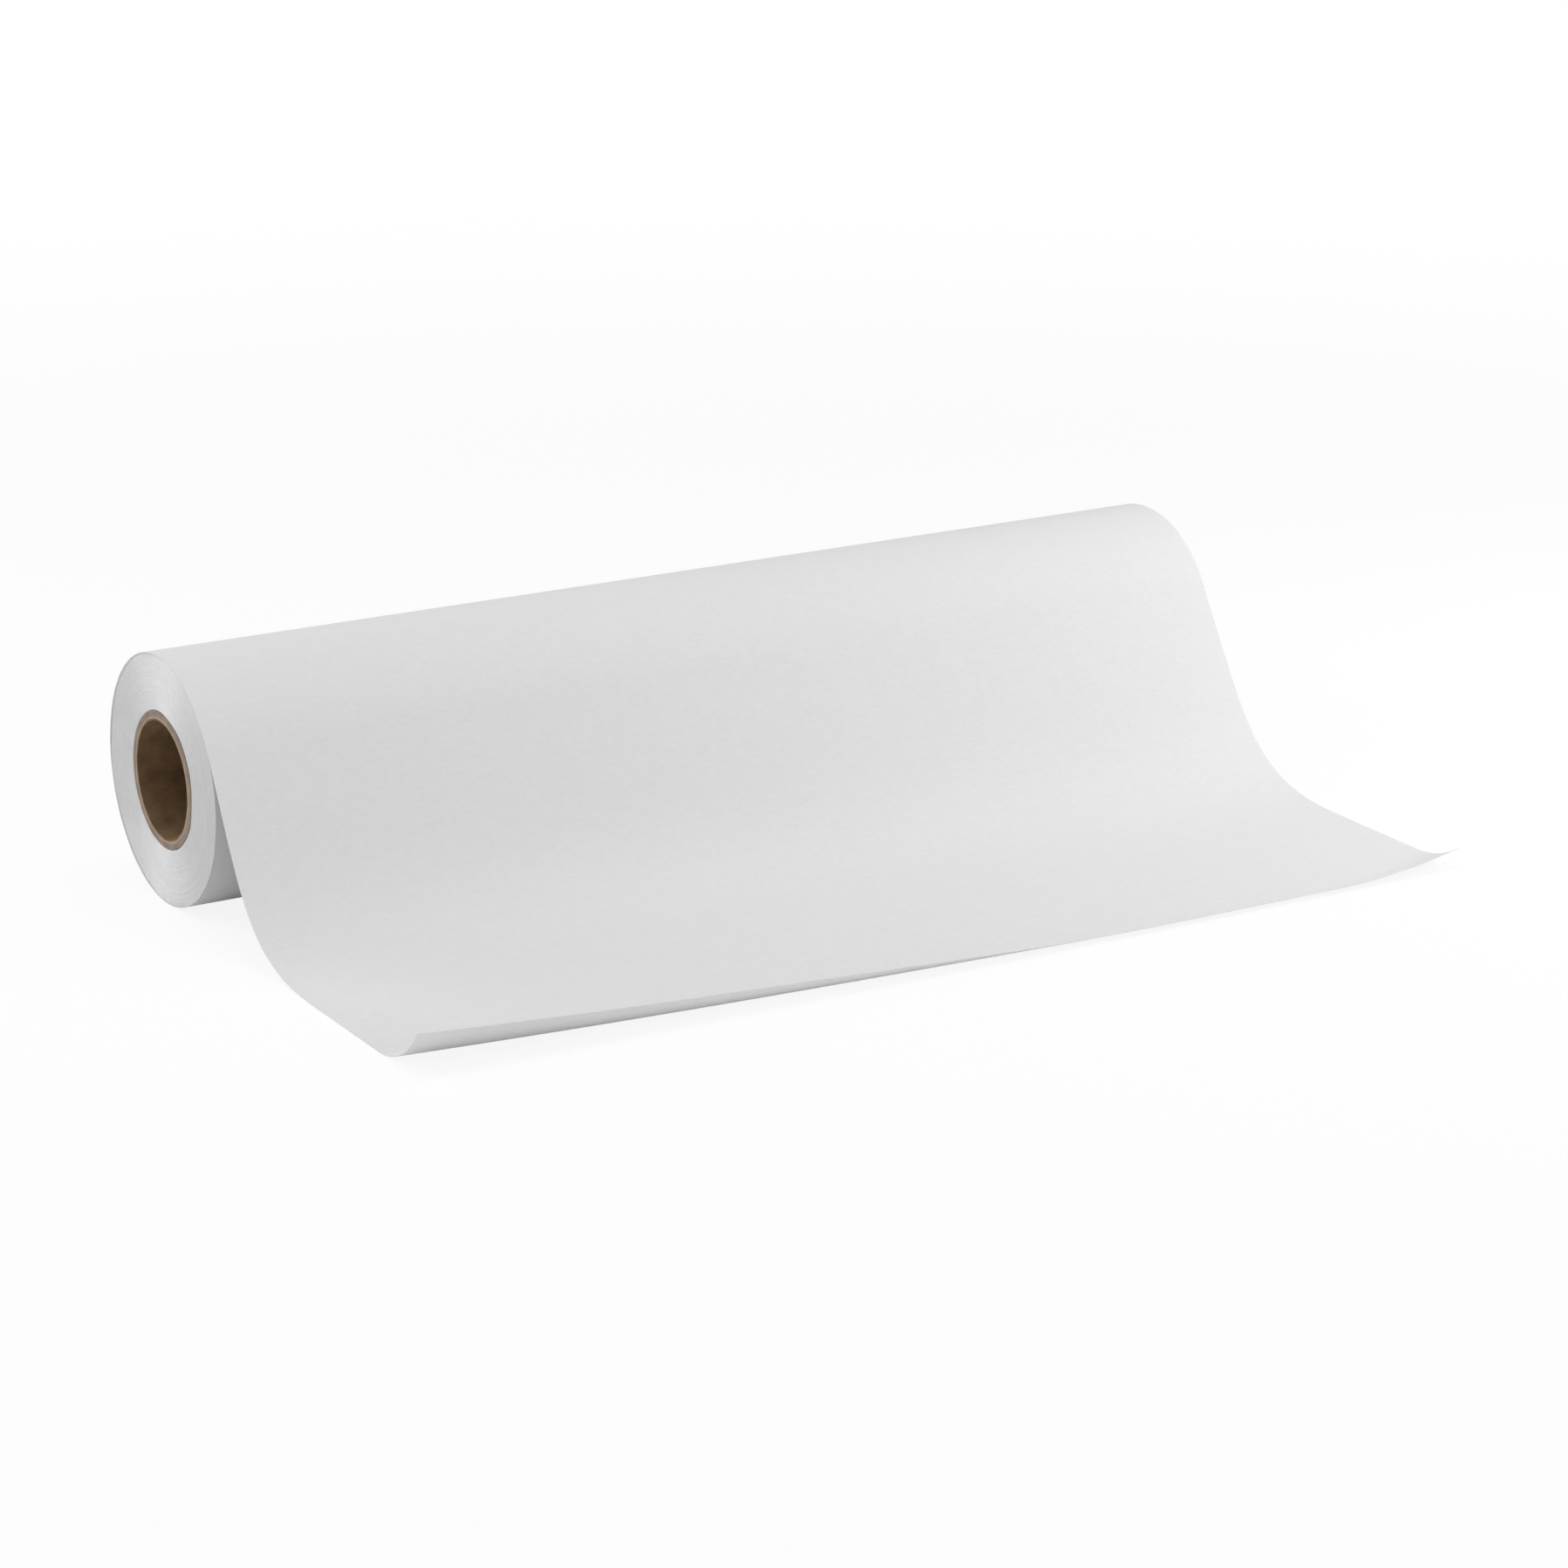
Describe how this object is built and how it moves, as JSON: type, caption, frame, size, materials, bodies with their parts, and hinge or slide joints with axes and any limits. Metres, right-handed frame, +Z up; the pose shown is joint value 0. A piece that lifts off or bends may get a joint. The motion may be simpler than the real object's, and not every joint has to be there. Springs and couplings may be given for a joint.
{
  "type": "backdrop paper roll",
  "caption": "Roll of white seamless backdrop paper on a cardboard core, its free end drawn over the top, down the front and out flat, with a curled cut edge.",
  "frame": {"origin": "on the axis of the core's bore, at the middle of the roll's width", "axes": "+X along the roll to the end with the flatter corner, -Y the way the sheet is pulled off, +Z up; the resting surface is at Z = -0.054 m"},
  "size_m": [0.5, 0.2946, 0.108],
  "materials": {
    "paper": "matt white uncoated paper with a fine tooth",
    "liner_board": "smooth brown kraft liner",
    "grey_board": "grey-brown recycled board",
    "tape": "tan crepe paper tape"
  },
  "bodies": {
    "sheet": {"last_turn": "paper", "draped_panel": "paper", "sweep": "paper", "floor_stretch": "paper"},
    "roll": {"core_liner_ply": "liner_board", "core_board_ply_1": "grey_board", "core_board_ply_2": "grey_board", "core_board_ply_3": "grey_board", "core_cover_ply": "grey_board", "start_tape": "tape", "wound_turns": "paper"},
    "front": {"front_flat": "paper", "left_curl": "paper", "right_curl": "paper"}
  },
  "joints": [
    {"name": "roll_spin", "type": "hinge", "parent": "sheet", "child": "roll", "pos_m": [0, 0, 0], "axis": [1, 0, 0], "range_deg": [-30, 360]},
    {"name": "lead_pull", "type": "slide", "parent": "sheet", "child": "front", "axis": [0, -1, 0], "range_m": [-0.029, 0.339], "deforming": ["floor_stretch"]}
  ],
  "couplings": [
    {"joint": "lead_pull", "follows": "roll_spin", "m_per_rad": 0.053875}
  ]
}
